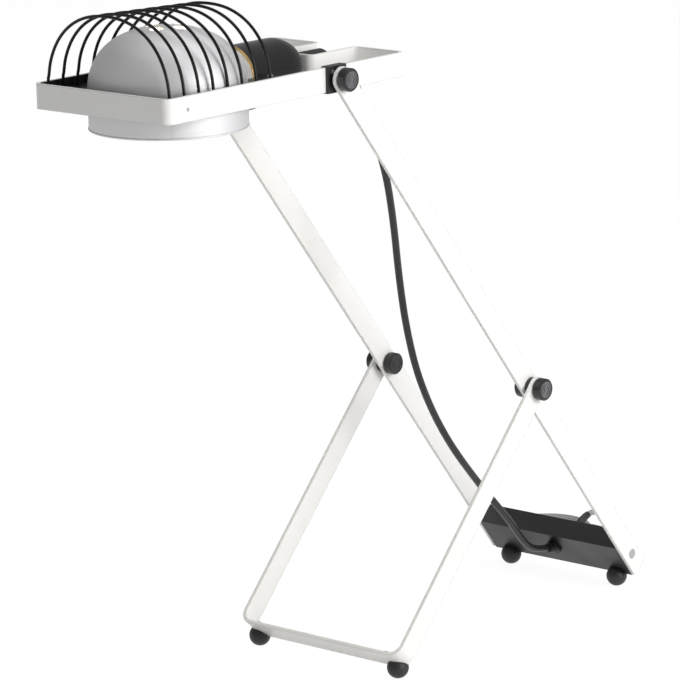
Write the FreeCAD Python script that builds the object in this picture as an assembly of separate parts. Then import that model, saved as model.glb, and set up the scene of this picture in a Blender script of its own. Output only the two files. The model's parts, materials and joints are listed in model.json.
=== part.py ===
"""Folding desk lamp: two long flat bars lean back from the head to a weighted base, a U-shaped
front leg is pivoted at their middle, and a level head frame carries a reflector under a wire guard.

All sizes are in millimetres. The row frame has +X to the lamp's right, -Y to its front (the head),
+Z up, the floor at z = 0, and its origin under the middle of the lamp's box.
The construction is drawn in three local frames: "bar" and "leg" have their origin at the middle
pivot and +Z up along the member, and "head" has its origin at the head pivot.
"""
import FreeCAD, Part
import math
import os

V = FreeCAD.Vector
os.makedirs("parts", exist_ok=True)

# ---------------------------------------------------------------- driving dimensions
BAR_WIDTH = 20.0            # every bar and the head strip are 20 x 3 flat steel
BAR_THICK = 3.0
SQUARE_END_RADIUS = 2.0     # corners of the bars' lower ends

LONG_UPPER = 380.0          # middle pivot to head pivot
LONG_LOWER = 249.0          # middle pivot to the bars' lower end
LONG_LEAN = 38.4            # lean from the vertical, degrees

LEG_LENGTH = 271.0          # middle pivot to the front leg's outer bottom face
LEG_SPACER = 5.0            # gap between each long bar and the leg's arm outside it
LEG_BEND = 12.0             # outer radius of the leg's two bends

HEAD_REAR = 87.0            # head pivot to the head strip's rear faces
HEAD_ABOVE = 10.0           # head pivot to the strip's top edge
HEAD_CORNER = 7.5           # outer radius of the strip's bends
NOTCH_WIDTH = 37.0          # notch between the two rear prongs
NOTCH_END = 32.0            # its closed end, behind the head pivot

BOLT_R = 3.0                # M6 pivot bolts
RUN_CLEAR = 0.05            # radial clearance of every pivot bore
SIDE_CLEAR = 0.2            # side clearance between pieces that turn on each other
KNOB_R = 9.5
KNOB_THICK = 8.5
KNOB_CHAMFER = 1.2
FACE_R = 7.0                # ring-turned face plate let into each knob
FACE_SEAT = 1.0
FACE_GROOVE = 0.35

BASE_LENGTH = 38.0          # base housing, along the bars
BASE_WALL = 1.5
GROMMET_UP = 21.0           # where the lamp flex enters the base, above the housing's lower end
GROMMET_NOSE = 9.0
GLAND_X = 7.0               # where the mains lead leaves the base
GLAND_UP = 16.5
GLAND_TAPER = 4.0

FOOT_R = 9.2                # rubber ball feet
FOOT_FLAT = 8.9             # ball centre to the worn flat on the floor
FRONT_FOOT_IN = 8.3         # front ball centre inside the leg's inner faces
REAR_FOOT_IN = 17.2         # rear ball centre inside the long bars' inner faces
FOOT_OUT = 0.5              # front ball centre beyond the leg's outer face
REAR_FOOT_OUT = 2.5         # rear ball centre beyond the bars' lower end
REAR_FOOT_FRONT = 2.0       # and in front of their front edge

REFLECTOR_R = 63.0
REFLECTOR_SHOULDER = 44.8   # radius of the curve from its straight wall into the flatter crown
REFLECTOR_TOP = 51.9
REFLECTOR_SPRING = 3.2      # where the shoulder springs from the straight wall
REFLECTOR_RIM = -28.9
REFLECTOR_WALL = 1.0
REFLECTOR_SIDE = 5.0        # free space between it and the tray's side walls
REFLECTOR_AHEAD = 10.6      # and in front of it
NECK_SHOWN = 8.4            # its neck, between the shell and the brass ring
VENT_R = 5.6                # round vents in the crown
VENT_OUT = 13.2
VENT_COUNT = 4
VENT_TURN = 9.5

TRAY_FLOOR = 3.0            # top of the tray's floor, above the head pivot
TRAY_WALL = 1.0
TRAY_REAR = -29.5
TRAY_CLEAR = 0.7            # round the reflector and beside the holder cover
RIVET_R = 1.5
RIVET_BACK = 22.5           # rivets behind the strip's front face
RIVET_Z = -0.4
LUG_HALF = 4.0              # lugs under the tray's floor that the rivets hold
LUG_THICK = 2.0

HOLDER_Z = -0.7             # axis of lampholder, bulb and flex in the head
COVER_R = 26.5
COVER_WALL = 1.8
COVER_FRONT = -45.0
COVER_REAR = 2.3
CAP_REAR = 28.0             # flat end of the rounded cap
CAP_FLAT_R = 5.9
CAP_WALL = 4.0
CAP_SEAM = 15.0
NECK_BORE = 20.2            # reflector neck and cover front, round the holder insert
NECK_WALL = 1.2
BRASS_RING = 2.0
BRASS_LIP = 0.6
SADDLE_WIDTH = 14.0
SADDLE_EAR = 14.0
SADDLE_THICK = 1.2
SADDLE_SCREW_R = 1.5

WIRE_R = 1.25               # guard wires
WIRE_COUNT = 8
WIRE_IN = 6.5               # first wire behind the tray's front wall
WIRE_LAST = -69.8
WIRE_CLEAR = 0.35           # between the wires' feet and the reflector's straight wall
WIRE_SPRING = 2.8           # height from which the arch is drawn
WIRE_TOP_FIRST = 66.7       # centre line over the middle, first and last wire
WIRE_TOP_LAST = 63.0
WIRE_SQUARE = 2.22          # 2 is an ellipse, more is squarer

CLIP_FRONT = -12.6          # clips that hold the head strip, along the strip
CLIP_REAR = 9.8
CLIP_PLATE = 2.5
CLIP_TAB = 0.9
CLIP_LIP = 1.5
CLIP_RETURN = 2.0           # how far the lips come round the strip's inner face
CLIP_BOSS = 2.5             # from the clip's plate to the long bar
CLIP_BOSS_R = 7.2
CLIP_SCREW_Y = -6.9
CLIP_SCREW_Z = 6.3

FLEX_R = 3.1                # lamp flex
FLEX_RISE = 6.0             # slope at which it comes down into the base, degrees
BOOT_R = 10.2               # strain relief behind the lampholder
BOOT_NECK_R = 5.7
BOOT_TIP_R = 6.7
BOOT_LENGTH = 39.0          # behind the notch's closed end
BOOT_TAPER = 6.5            # chamfered part of it
FLEX_SPLIT = 96.0           # radius about the head pivot inside which the flex rides with the head

LEAD_R = 2.6                # mains lead
TURN_GAP = 0.45             # between the turns of its put-away coil
TURNS_PER_LAYER = 3.75
COIL_MEAN_R = 31.2          # six lead diameters
COIL_X = -88.0
COIL_Y = 373.0
PLUG_WIDTH = 28.0
PLUG_LENGTH = 34.0
PLUG_RELIEF = 30.0
PIN_R = 2.0
PIN_SPACING = 19.0
PIN_LENGTH = 19.0

# ---------------------------------------------------------------- worked-out sizes
HALF = BAR_WIDTH / 2
HEAD_IN = REFLECTOR_R + REFLECTOR_SIDE + TRAY_WALL
HEAD_OUT = HEAD_IN + BAR_THICK
CLIP_OUT = HEAD_OUT + CLIP_PLATE
LONG_IN = CLIP_OUT + CLIP_BOSS
LONG_OUT = LONG_IN + BAR_THICK
LEG_IN = LONG_OUT + LEG_SPACER
LEG_OUT = LEG_IN + BAR_THICK
FRONT_FOOT_X = LEG_IN - FRONT_FOOT_IN
REAR_FOOT_X = LONG_IN - REAR_FOOT_IN
RING_FRONT = COVER_FRONT - BRASS_RING
REFLECTOR_Y = RING_FRONT - NECK_SHOWN - REFLECTOR_R
TRAY_FRONT = REFLECTOR_Y - REFLECTOR_R - REFLECTOR_AHEAD
HEAD_FRONT = -TRAY_FRONT + TRAY_WALL + BAR_THICK
WIRE_FIRST = TRAY_FRONT + WIRE_IN
WIRE_HALF = REFLECTOR_R + WIRE_CLEAR + WIRE_R
RIVET_Y = -HEAD_FRONT + RIVET_BACK
SADDLE_REAR = TRAY_REAR
BOOT_END = NOTCH_END + BOOT_LENGTH
HEAD_BELOW = HEAD_ABOVE - BAR_WIDTH
PIVOT_BORE = BOLT_R + RUN_CLEAR
LEAN = math.radians(LONG_LEAN)

# Both pairs of ball feet stand on one floor, which sets the front leg's lean.
REAR_FOOT_Z = -(LONG_LOWER + REAR_FOOT_OUT)
REAR_FOOT_Y = -(HALF + REAR_FOOT_FRONT)
FRONT_FOOT_Z = -(LEG_LENGTH + FOOT_OUT)
FRONT_FOOT_Y = HALF
FOOT_DROP = -(REAR_FOOT_Z * math.cos(LEAN) + REAR_FOOT_Y * math.sin(LEAN))
FRONT_FOOT_REACH = math.hypot(FRONT_FOOT_Z, FRONT_FOOT_Y)
LEG_LEAN = math.degrees(math.acos(FOOT_DROP / FRONT_FOOT_REACH) + math.atan2(FRONT_FOOT_Y, -FRONT_FOOT_Z))

PIVOT_Z = FOOT_DROP + FOOT_FLAT
HEAD_PIVOT = V(0, -LONG_UPPER * math.sin(LEAN), LONG_UPPER * math.cos(LEAN))
FRONT_END = HEAD_PIVOT.y - HEAD_FRONT
REAR_END = LONG_LOWER * math.sin(LEAN) + HALF * math.cos(LEAN)
PIVOT_Y = -(FRONT_END + REAR_END) / 2

BAR_FRAME = FreeCAD.Placement(V(0, PIVOT_Y, PIVOT_Z), FreeCAD.Rotation(V(1, 0, 0), LONG_LEAN))
LEG_FRAME = FreeCAD.Placement(V(0, PIVOT_Y, PIVOT_Z), FreeCAD.Rotation(V(1, 0, 0), -LEG_LEAN))
HEAD_FRAME = FreeCAD.Placement(V(0, PIVOT_Y, PIVOT_Z) + HEAD_PIVOT, FreeCAD.Rotation())
ROW_FRAME = FreeCAD.Placement()
SIDES = (("right", 1), ("left", -1))

made = {}


# ---------------------------------------------------------------- helpers
def keep(name, shape, frame):
    """Puts a finished piece into the row frame and keeps it for export."""
    placed = shape.copy()
    placed.Placement = frame.multiply(placed.Placement)
    made[name] = placed


def box(x0, x1, y0, y1, z0, z1):
    return Part.makeBox(x1 - x0, y1 - y0, z1 - z0, V(x0, y0, z0))


def rod_x(x0, x1, radius, y=0.0, z=0.0):
    """Cylinder along X from x0 to x1."""
    return Part.makeCylinder(radius, abs(x1 - x0), V(min(x0, x1), y, z), V(1, 0, 0))


def rod_y(y0, y1, radius, x=0.0, z=0.0):
    return Part.makeCylinder(radius, y1 - y0, V(x, y0, z), V(0, 1, 0))


def mirrored(shape, side):
    """The piece as drawn for the right side, or its mirror image for the left."""
    return shape if side > 0 else shape.mirror(V(0, 0, 0), V(1, 0, 0))


def both_sides(shape):
    """The piece and its mirror image as one node."""
    return Part.makeCompound([mirrored(shape, side) for _, side in SIDES])


def outline(points, radii):
    """Closed outline in the XY plane through the points, each corner rounded by its radius or sharp."""
    edges = []
    joints = []
    count = len(points)
    for i, corner in enumerate(points):
        to_last = (points[i - 1] - corner).normalize()
        to_next = (points[(i + 1) % count] - corner).normalize()
        half_angle = to_last.getAngle(to_next) / 2
        run = radii[i] / math.tan(half_angle)
        middle = (to_last + to_next).normalize()
        centre = corner + middle * (radii[i] / math.sin(half_angle))
        joints.append((corner + to_last * run, centre - middle * radii[i], corner + to_next * run))
    for i, (start, mid, end) in enumerate(joints):
        if radii[i]:
            edges.append(Part.Arc(start, mid, end).toShape())
        edges.append(Part.LineSegment(end, joints[(i + 1) % count][0]).toShape())
    return Part.Wire(edges)


def plate(points, radii, height, z0=0.0):
    face = Part.Face(outline([V(x, y, z0) for x, y in points], radii))
    return face.extrude(V(0, 0, height))


def turned(profile, axis):
    """Solid of revolution of a closed profile of (radius, height) points about +Z or +Y."""
    corners = [V(r, 0, h) for r, h in profile]
    face = Part.Face(Part.makePolygon(corners + corners[:1]))
    solid = face.revolve(V(0, 0, 0), V(0, 0, 1), 360)
    if axis == "y":
        solid.rotate(V(0, 0, 0), V(1, 0, 0), -90)
    return solid


# ---------------------------------------------------------------- long bars and front leg
def long_bar():
    """Flat bar from the head pivot down to the base, with its two pivot bores and a screw seat."""
    bar = plate([(-HALF, -LONG_LOWER), (HALF, -LONG_LOWER), (HALF, LONG_UPPER), (-HALF, LONG_UPPER)],
                [SQUARE_END_RADIUS, SQUARE_END_RADIUS, 0, 0], BAR_THICK)
    bar.rotate(V(0, 0, 0), V(1, 1, 1), 120)
    bar.translate(V(LONG_IN, 0, 0))
    bar = bar.fuse(rod_x(LONG_IN, LONG_OUT, HALF, 0, LONG_UPPER)).removeSplitter()
    for height in (0, LONG_UPPER):
        bar = bar.cut(rod_x(LONG_IN - 1, LONG_OUT + 1, PIVOT_BORE, 0, height))
    return bar.cut(side_screw())


def side_screw():
    """Countersunk M4 screw through a long bar's lower end into the base housing."""
    z = -(LONG_LOWER - BASE_LENGTH / 2)
    head = Part.makeCone(2.0, 4.4, 2.4, V(LONG_OUT - 2.4, 0, z), V(1, 0, 0))
    return head.fuse(rod_x(LONG_IN - 8, LONG_OUT - 2.4, 2.0, 0, z)).removeSplitter()


def leg_frame():
    """U-shaped front leg: two arms with rounded, bored upper ends, and the bottom cross strip."""
    inner_bend = LEG_BEND - BAR_THICK
    low = -LEG_LENGTH
    outer = plate([(-LEG_OUT, low), (LEG_OUT, low), (LEG_OUT, HALF), (-LEG_OUT, HALF)],
                  [LEG_BEND, LEG_BEND, 0, 0], BAR_WIDTH, -HALF)
    inner = plate([(-LEG_IN, low + BAR_THICK), (LEG_IN, low + BAR_THICK),
                   (LEG_IN, HALF + 5), (-LEG_IN, HALF + 5)],
                  [inner_bend, inner_bend, 0, 0], BAR_WIDTH + 2, -HALF - 1)
    leg = outer.cut(inner)
    leg.rotate(V(0, 0, 0), V(1, 0, 0), 90)
    round_end = rod_x(-LEG_OUT - 1, LEG_OUT + 1, HALF)
    tops = box(-LEG_OUT - 1, LEG_OUT + 1, -HALF - 1, HALF + 1, 0, HALF + 1)
    leg = leg.cut(tops.cut(round_end))
    leg = leg.cut(rod_x(-LEG_OUT - 1, LEG_OUT + 1, PIVOT_BORE))
    return leg.cut(foot_screw(1)).cut(foot_screw(-1))


def ball_foot(y, z, x, lean):
    """Rubber ball, worn flat where it stands. y and z place it in a frame that leans back by lean."""
    ball = Part.makeSphere(FOOT_R, V(0, 0, 0))
    flat = box(-20, 20, -20, 20, -20, -FOOT_FLAT)
    flat.rotate(V(0, 0, 0), V(1, 0, 0), -lean)
    ball = ball.cut(flat)
    ball.translate(V(x, y, z))
    return ball


def foot_screw(side):
    """Pan-head screw that holds a front foot's inner lip to the cross strip."""
    z = -(LEG_LENGTH - BAR_THICK)
    x = side * (FRONT_FOOT_X - 6.0)
    head = Part.makeCylinder(3.4, 2.4, V(x, -3.0, z), V(0, 0, 1))
    head = head.makeFillet(0.9, [head.Edges[0]])
    return head.fuse(Part.makeCylinder(1.5, 2.5, V(x, -3.0, z - 2.5), V(0, 0, 1))).removeSplitter()


# ---------------------------------------------------------------- base
BASE_LOW = -LONG_LOWER
BASE_TOP = BASE_LOW + BASE_LENGTH
GROMMET_Z = BASE_LOW + GROMMET_UP
GLAND_Z = BASE_LOW + GLAND_UP
GROMMET_NECK = 5.0
GLAND_NECK = 5.0


def base_housing():
    """Folded sheet box between the bars, open at its rear face."""
    shell = box(-LONG_IN, LONG_IN, -HALF, HALF, BASE_LOW, BASE_TOP)
    room = box(-LONG_IN + BASE_WALL, LONG_IN - BASE_WALL, -HALF + BASE_WALL, HALF + 1,
               BASE_LOW + BASE_WALL, BASE_TOP - BASE_WALL)
    shell = shell.cut(room)
    shell = shell.cut(rod_y(-HALF - 1, -HALF + BASE_WALL + 1, GROMMET_NECK, 0, GROMMET_Z))
    for _, side in SIDES:
        shell = shell.cut(mirrored(side_screw(), side))
    return shell.cut(grommet())


def base_cover():
    """Rear plate of the base, let in flush between the housing's walls."""
    inset = BASE_WALL + 0.1
    cover = box(-LONG_IN + inset, LONG_IN - inset, HALF - BASE_WALL, HALF, BASE_LOW + inset, BASE_TOP - inset)
    cover = cover.cut(rod_y(HALF - BASE_WALL - 1, HALF + 1, GLAND_NECK, GLAND_X, GLAND_Z))
    for side in (1, -1):
        cover = cover.cut(cover_screw(side))
    return cover


def cover_screw(side):
    """Raised-head screw that holds the rear cover to the ballast."""
    x = side * (LONG_IN - 16)
    z = BASE_LOW + BASE_LENGTH / 2
    head = Part.makeCylinder(3.0, 1.2, V(x, HALF, z), V(0, 1, 0))
    return head.fuse(rod_y(HALF - 6, HALF, 1.5, x, z)).removeSplitter()


WIRING_HALF = 28.0          # room for the terminals, each side of the middle


def ballast():
    """Two cast blocks that fill the housing's ends and leave its middle free for the terminals."""
    play = BASE_WALL + 0.5
    blocks = []
    for x0, x1 in ((-LONG_IN + play, -WIRING_HALF), (WIRING_HALF, LONG_IN - play)):
        block = box(x0, x1, -HALF + play, HALF - BASE_WALL, BASE_LOW + play, BASE_TOP - play)
        for side in (1, -1):
            block = block.cut(cover_screw(side)).cut(mirrored(side_screw(), side))
        blocks.append(block)
    return Part.makeCompound(blocks)


def terminal_block():
    """Two-way terminal strip that joins the flex to the mains lead, under the housing's top wall."""
    high = BASE_TOP - BASE_WALL
    block = box(-11, 11, -4, 6, high - 9, high)
    for x in (-5.5, 5.5):
        block = block.cut(Part.makeCylinder(1.9, 5, V(x, 1, high - 9), V(0, 0, 1)))
        block = block.cut(rod_y(-5, 7, 1.6, x, high - 4.5))
    return block


def grommet():
    """Rubber bush through the housing's front wall, its nose turned up to meet the lamp flex."""
    flange = rod_y(-HALF - 2.5, -HALF, 7.0, 0, GROMMET_Z)
    neck = rod_y(-HALF, -HALF + BASE_WALL, GROMMET_NECK, 0, GROMMET_Z)
    nut = rod_y(-HALF + BASE_WALL, -HALF + BASE_WALL + 1.5, 6.5, 0, GROMMET_Z)
    turn = math.radians(LONG_LEAN + FLEX_RISE)
    outward = V(0, -math.cos(turn), math.sin(turn))
    nose = Part.makeCone(5.4, 4.4, GROMMET_NOSE, V(0, -HALF, GROMMET_Z), outward)
    return flange.fuse([neck, nut, nose]).removeSplitter()


def lead_gland():
    """Tapered bush through the rear cover, round the mains lead."""
    neck = rod_y(HALF - BASE_WALL, HALF, GLAND_NECK, GLAND_X, GLAND_Z)
    nut = rod_y(HALF - BASE_WALL - 1.5, HALF - BASE_WALL, 6.5, GLAND_X, GLAND_Z)
    taper = Part.makeCone(6.5, 4.2, GLAND_TAPER, V(GLAND_X, HALF, GLAND_Z), V(0, 1, 0))
    return taper.fuse([neck, nut]).removeSplitter()


# ---------------------------------------------------------------- pivots
def knob(x_inner):
    """Round clamping knob with a chamfered rim, a blind bore and a seat for its face plate."""
    body = rod_x(x_inner, x_inner + KNOB_THICK, KNOB_R)
    body = body.makeChamfer(KNOB_CHAMFER, [body.Edges[0], body.Edges[2]])
    body = body.cut(rod_x(x_inner + KNOB_THICK - FACE_SEAT, x_inner + KNOB_THICK + 1, FACE_R))
    return body.cut(rod_x(x_inner - 1, x_inner + KNOB_THICK - 2.5, PIVOT_BORE))


def knob_face(x_inner):
    """Face plate with turned rings."""
    x1 = x_inner + KNOB_THICK - 0.2
    face = rod_x(x1 + 0.2 - FACE_SEAT, x1, FACE_R)
    for outer in (5.6, 3.2):
        ring = rod_x(x1 - FACE_GROOVE, x1 + 1, outer).cut(rod_x(x1 - 1, x1 + 2, outer - 0.9))
        face = face.cut(ring)
    return face


def inner_cap():
    """Screwed cap on the inner end of a middle pivot bolt, like the outer knobs but fixed."""
    cap = rod_x(LONG_IN - KNOB_THICK, LONG_IN, KNOB_R)
    cap = cap.makeChamfer(KNOB_CHAMFER, [cap.Edges[0], cap.Edges[2]])
    x0 = LONG_IN - KNOB_THICK
    for outer in (7.0, 5.0, 2.8):
        cap = cap.cut(rod_x(x0 - 1, x0 + FACE_GROOVE, outer).cut(rod_x(x0 - 2, x0 + 2, outer - 0.8)))
    return cap.cut(rod_x(x0 + 2.0, LONG_IN + 1, BOLT_R))


def middle_bolt():
    """Stud through inner cap, long bar, spacer, leg arm and knob."""
    return rod_x(LONG_IN - KNOB_THICK + 2.0, LEG_OUT + SIDE_CLEAR + KNOB_THICK - 3.0, BOLT_R)


def leg_spacer():
    """Disc between long bar and leg arm, pressed on the arm."""
    return rod_x(LONG_OUT + SIDE_CLEAR, LEG_IN, HALF - 1.0).cut(rod_x(LONG_OUT - 1, LEG_IN + 1, PIVOT_BORE))


# ---------------------------------------------------------------- head frame, tray and clips
def head_frame():
    """Flat strip on edge, bent into one closed loop with a notch between two rear prongs."""
    notch = NOTCH_WIDTH / 2
    inside = HEAD_CORNER - BAR_THICK
    outer_points = [(-HEAD_OUT, -HEAD_FRONT), (HEAD_OUT, -HEAD_FRONT), (HEAD_OUT, HEAD_REAR),
                    (notch, HEAD_REAR), (notch, NOTCH_END), (-notch, NOTCH_END),
                    (-notch, HEAD_REAR), (-HEAD_OUT, HEAD_REAR)]
    t = BAR_THICK
    inner_points = [(-HEAD_IN, -HEAD_FRONT + t), (HEAD_IN, -HEAD_FRONT + t), (HEAD_IN, HEAD_REAR - t),
                    (notch + t, HEAD_REAR - t), (notch + t, NOTCH_END - t), (-notch - t, NOTCH_END - t),
                    (-notch - t, HEAD_REAR - t), (-HEAD_IN, HEAD_REAR - t)]
    outer_radii = [HEAD_CORNER] * 4 + [inside] * 2 + [HEAD_CORNER] * 2
    inner_radii = [inside] * 4 + [HEAD_CORNER] * 2 + [inside] * 2
    strip = plate(outer_points, outer_radii, BAR_WIDTH, HEAD_BELOW)
    strip = strip.cut(plate(inner_points, inner_radii, BAR_WIDTH + 2, HEAD_BELOW - 1))
    strip = strip.cut(rod_y(NOTCH_END - t - 1, NOTCH_END + 1, BOOT_NECK_R + 0.1, 0, HOLDER_Z))
    return strip.cut(tray_rivets())


def tray():
    """Black pan inside the strip: upright walls, a reflector hole, a holder slot and two rivet lugs."""
    front = -HEAD_FRONT + BAR_THICK
    inside = HEAD_CORNER - BAR_THICK
    floor_low = TRAY_FLOOR - TRAY_WALL
    pan = plate([(-HEAD_IN, front), (HEAD_IN, front), (HEAD_IN, TRAY_REAR), (-HEAD_IN, TRAY_REAR)],
                [inside, inside, 0, 0], HEAD_ABOVE - floor_low, floor_low)
    room_half = HEAD_IN - TRAY_WALL
    pan = pan.cut(plate([(-room_half, front + TRAY_WALL), (room_half, front + TRAY_WALL),
                         (room_half, TRAY_REAR + 1), (-room_half, TRAY_REAR + 1)],
                        [inside - TRAY_WALL, inside - TRAY_WALL, 0, 0], HEAD_ABOVE, TRAY_FLOOR))
    hole = Part.makeCylinder(REFLECTOR_R + TRAY_CLEAR, 4, V(0, REFLECTOR_Y, floor_low - 1))
    slot_half = COVER_R + TRAY_CLEAR + 0.5
    slot = box(-slot_half, slot_half, REFLECTOR_Y, TRAY_REAR + 1, floor_low - 1, TRAY_FLOOR + 1)
    lug_low = RIVET_Z - LUG_HALF
    lug = box(HEAD_IN - LUG_THICK, HEAD_IN, RIVET_Y - LUG_HALF, RIVET_Y + LUG_HALF, lug_low, floor_low)
    pan = pan.fuse([lug, mirrored(lug, -1)]).removeSplitter()
    return pan.cut(hole).cut(slot).cut(tray_rivets()).cut(saddle_screw_pair())


def tray_rivets():
    """Rivets through the strip's sides into the tray's lugs, flush outside."""
    return both_sides(rod_x(HEAD_IN - LUG_THICK - 0.5, HEAD_OUT, RIVET_R, RIVET_Y, RIVET_Z))


def saddle_screw_pair():
    """Screws that hold the saddle's ears up against the tray's floor."""
    x = COVER_R + SADDLE_EAR / 2 + 1
    y = SADDLE_REAR - SADDLE_WIDTH / 2
    shank = Part.makeCylinder(SADDLE_SCREW_R, 5, V(x, y, TRAY_FLOOR - 5), V(0, 0, 1))
    head = Part.makeCylinder(SADDLE_SCREW_R + 1.3, 1.4, V(x, y, TRAY_FLOOR), V(0, 0, 1))
    return both_sides(shank.fuse(head).removeSplitter())


def strip_clip():
    """C-shaped clip round the head strip with a boss that carries the pivot stud."""
    low = HEAD_BELOW - CLIP_TAB
    high = HEAD_ABOVE + CLIP_TAB
    hook = HEAD_IN - CLIP_LIP
    open_low = HEAD_BELOW + CLIP_RETURN
    open_high = HEAD_ABOVE - CLIP_RETURN
    clip = box(hook, CLIP_OUT, CLIP_FRONT, CLIP_REAR, low, high)
    clip = clip.cut(box(HEAD_IN, HEAD_OUT, CLIP_FRONT - 1, CLIP_REAR + 1, HEAD_BELOW, HEAD_ABOVE))
    clip = clip.cut(box(hook - 1, HEAD_IN + 1, CLIP_FRONT - 1, CLIP_REAR + 1, open_low, open_high))
    boss = rod_x(CLIP_OUT, LONG_IN - SIDE_CLEAR, CLIP_BOSS_R)
    clip = clip.fuse(boss).removeSplitter()
    clip = clip.cut(rod_x(HEAD_OUT - 0.5, LONG_IN + 1, BOLT_R))
    return clip.cut(clip_screw())


def head_stud():
    """Pivot stud from the clip through the long bar into the knob."""
    return rod_x(HEAD_OUT, LONG_OUT + SIDE_CLEAR + KNOB_THICK - 3.0, BOLT_R)


def clip_screw():
    """Small screw that fixes the clip to the strip."""
    y, z = CLIP_SCREW_Y, CLIP_SCREW_Z
    head = rod_x(CLIP_OUT, CLIP_OUT + 1.2, 1.7, y, z)
    return head.fuse(rod_x(HEAD_OUT, CLIP_OUT, 1.1, y, z)).removeSplitter()


# ---------------------------------------------------------------- reflector and lampholder
def dome(inset):
    """Solid under the reflector's skin, drawn in by inset: straight wall, shoulder and crown, all tangent."""
    radius = REFLECTOR_R - inset
    shoulder = REFLECTOR_SHOULDER - inset
    top = REFLECTOR_TOP - inset
    flat = radius - shoulder
    rise = top - REFLECTOR_SPRING
    crown = (flat ** 2 + rise ** 2 - shoulder ** 2) / (2 * (rise - shoulder))
    turn = math.atan2(flat, crown - rise)

    def on_crown(angle):
        return V(crown * math.sin(angle), 0, top - crown + crown * math.cos(angle))

    def on_shoulder(angle):
        return V(flat + shoulder * math.sin(angle), 0, REFLECTOR_SPRING + shoulder * math.cos(angle))

    foot = V(0, 0, REFLECTOR_RIM)
    rim = V(radius, 0, REFLECTOR_RIM)
    side = on_shoulder(math.pi / 2)
    edges = [Part.LineSegment(foot, rim).toShape(), Part.LineSegment(rim, side).toShape(),
             Part.Arc(side, on_shoulder((turn + math.pi / 2) / 2), on_crown(turn)).toShape(),
             Part.Arc(on_crown(turn), on_crown(turn / 2), V(0, 0, top)).toShape(),
             Part.LineSegment(V(0, 0, top), foot).toShape()]
    return Part.Face(Part.Wire(edges)).revolve(V(0, 0, 0), V(0, 0, 1), 360)


def reflector():
    """Spun aluminium shell with a beaded rim, four vents round its top and a neck at its rear."""
    inner_r = REFLECTOR_R - REFLECTOR_WALL
    shell = dome(0)
    bead = Part.makeTorus(REFLECTOR_R - 0.4, 0.9, V(0, 0, REFLECTOR_RIM + 0.9))
    shell = shell.fuse(bead)
    neck = rod_y(REFLECTOR_R - 6, REFLECTOR_R + NECK_SHOWN, NECK_BORE + NECK_WALL, 0, HOLDER_Z)
    shell = shell.fuse(neck)
    hollow = dome(REFLECTOR_WALL)
    hollow = hollow.fuse(Part.makeCylinder(inner_r, 5, V(0, 0, REFLECTOR_RIM - 5)))
    shell = shell.cut(hollow)
    shell = shell.cut(rod_y(0, REFLECTOR_R + NECK_SHOWN + 1, NECK_BORE, 0, HOLDER_Z))
    for i in range(VENT_COUNT):
        turn = math.radians(VENT_TURN + 360 * i / VENT_COUNT)
        x, y = VENT_OUT * math.cos(turn), VENT_OUT * math.sin(turn)
        shell = shell.cut(Part.makeCylinder(VENT_R, REFLECTOR_TOP, V(x, y, 20)))
    shell.translate(V(0, REFLECTOR_Y, 0))
    return shell.removeSplitter()


def brass_ring():
    ring = rod_y(RING_FRONT, COVER_FRONT, COVER_R + BRASS_LIP, 0, HOLDER_Z)
    return ring.cut(rod_y(RING_FRONT - 1, COVER_FRONT + 1, NECK_BORE, 0, HOLDER_Z))


def holder_cover():
    """Black tube round the lampholder, closed in front but for the holder's own bore."""
    tube = rod_y(COVER_FRONT, COVER_REAR, COVER_R, 0, HOLDER_Z)
    tube = tube.cut(rod_y(COVER_FRONT + 2, COVER_REAR + 1, COVER_R - COVER_WALL, 0, HOLDER_Z))
    return tube.cut(rod_y(COVER_FRONT - 1, COVER_FRONT + 3, NECK_BORE, 0, HOLDER_Z))


def half_egg(y0, y1, radius, end_radius):
    """Solid about +Y whose radius falls from radius at y0 to end_radius at y1 along a quarter ellipse."""
    side, end, middle = V(radius, y0, 0), V(end_radius, y1, 0), V(end_radius, y0, 0)
    first, second = (end, side) if y1 - y0 > radius - end_radius else (side, end)
    arc = Part.ArcOfEllipse(Part.Ellipse(first, second, middle), 0, math.pi / 2).toShape()
    flat = Part.LineSegment(end, V(0, y1, 0)).toShape()
    axis = Part.LineSegment(V(0, y1, 0), V(0, y0, 0)).toShape()
    base = Part.LineSegment(V(0, y0, 0), side).toShape()
    edges = Part.__sortEdges__([arc, flat, axis, base])
    solid = Part.Face(Part.Wire(edges)).revolve(V(0, 0, 0), V(0, 1, 0), 360)
    solid.translate(V(0, 0, HOLDER_Z))
    return solid


def holder_cap():
    """Egg-shaped end cap with a thin seam round it and a spigot inside the cover."""
    cap = half_egg(COVER_REAR, CAP_REAR, COVER_R, CAP_FLAT_R)
    spigot = rod_y(COVER_REAR - 5, COVER_REAR, COVER_R - COVER_WALL - 0.1, 0, HOLDER_Z)
    cap = cap.fuse(spigot)
    along = (CAP_SEAM - COVER_REAR) / (CAP_REAR - COVER_REAR)
    seam_r = CAP_FLAT_R + (COVER_R - CAP_FLAT_R) * math.sqrt(1 - along ** 2)
    seam = rod_y(CAP_SEAM - 0.25, CAP_SEAM + 0.25, COVER_R, 0, HOLDER_Z)
    cap = cap.cut(seam.cut(rod_y(CAP_SEAM - 1, CAP_SEAM + 1, seam_r - 0.5, 0, HOLDER_Z)))
    room_r = COVER_R - COVER_WALL - 0.1 - CAP_WALL / 2
    room = half_egg(COVER_REAR, CAP_REAR - CAP_WALL, room_r, 0.5)
    return cap.cut(room.fuse(rod_y(COVER_REAR - 6, COVER_REAR, room_r, 0, HOLDER_Z)))


SHELL_R = 14.0
SHELL_WALL = 0.6
INSERT_FRONT = COVER_FRONT - 12.0
INSERT_REAR = COVER_REAR - 20.0


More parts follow.
